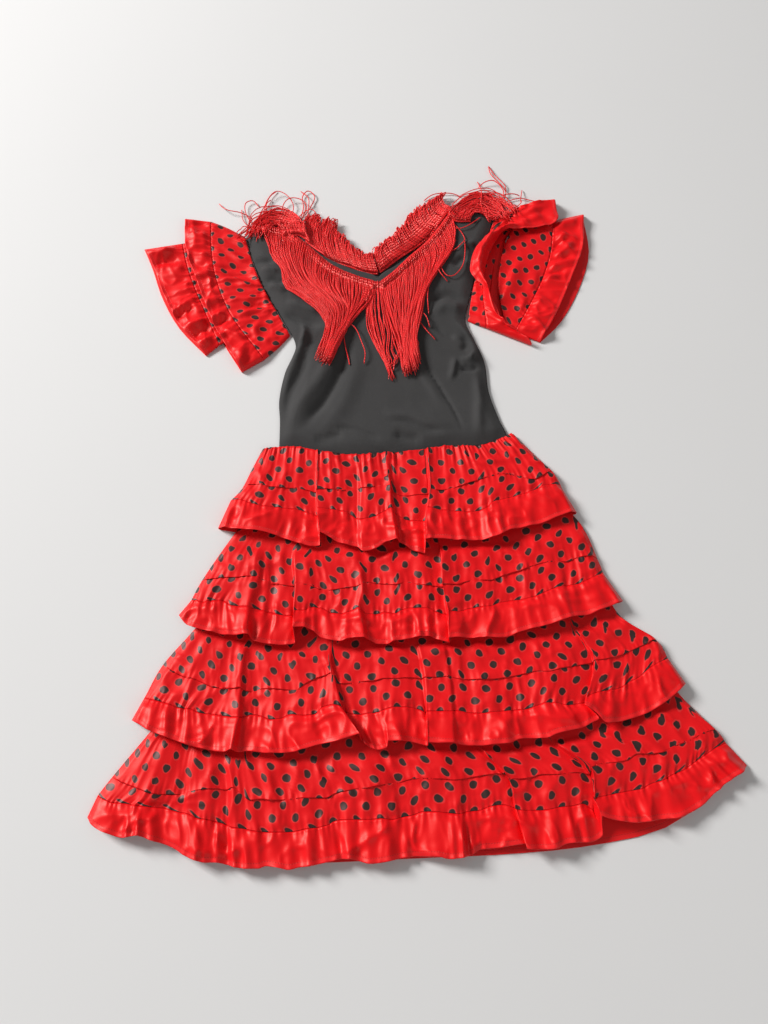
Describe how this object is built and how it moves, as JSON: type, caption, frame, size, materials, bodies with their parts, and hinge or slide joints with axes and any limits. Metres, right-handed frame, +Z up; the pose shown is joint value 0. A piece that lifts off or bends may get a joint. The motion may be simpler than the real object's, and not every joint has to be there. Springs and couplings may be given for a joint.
{
  "type": "flamenco dress",
  "caption": "Child's flamenco dress laid flat, front up: black jersey bodice with V neck and red fringe, dotted puff sleeves and a tiered red dotted skirt with plain satin ruffles.",
  "frame": {"origin": "centre of the footprint of the dress laid flat, on the surface it lies on", "axes": "+Z up, out of the front of the dress; +Y along the dress towards the neck; +X across it, towards the right of the picture"},
  "size_m": [0.653, 0.863, 0.0234],
  "materials": {
    "jersey_black": "matte black stretch jersey with a faint knit",
    "dotted_satin": "light red satin with black dots in a staggered repeat",
    "plain_satin": "plain red satin with a soft shine",
    "fringe_red": "red rayon chainette fringe on a narrow braid"
  },
  "bodies": {
    "root": {"bodice_back": "jersey_black", "bodice_front": "jersey_black", "fringe_back_left": "fringe_red", "fringe_back_right": "fringe_red", "fringe_front_left": "fringe_red", "fringe_front_right": "fringe_red", "fringe_shoulder_left": "fringe_red", "fringe_shoulder_right": "fringe_red", "skirt_tier1_band": "dotted_satin", "skirt_tier1_ruffle": "plain_satin", "skirt_tier2_band": "dotted_satin", "skirt_tier2_ruffle": "plain_satin", "skirt_tier3_band": "dotted_satin", "skirt_tier3_ruffle": "plain_satin", "skirt_tier4_band": "dotted_satin", "skirt_tier4_ruffle": "plain_satin", "sleeve_left_tier1_band": "dotted_satin", "sleeve_left_tier1_ruffle": "plain_satin", "sleeve_left_tier2_band": "dotted_satin", "sleeve_left_tier2_ruffle": "plain_satin", "sleeve_right_tier1_band": "dotted_satin", "sleeve_right_tier1_ruffle": "plain_satin", "sleeve_right_tier2_band": "dotted_satin", "sleeve_right_tier2_ruffle": "plain_satin"}
  },
  "joints": []
}
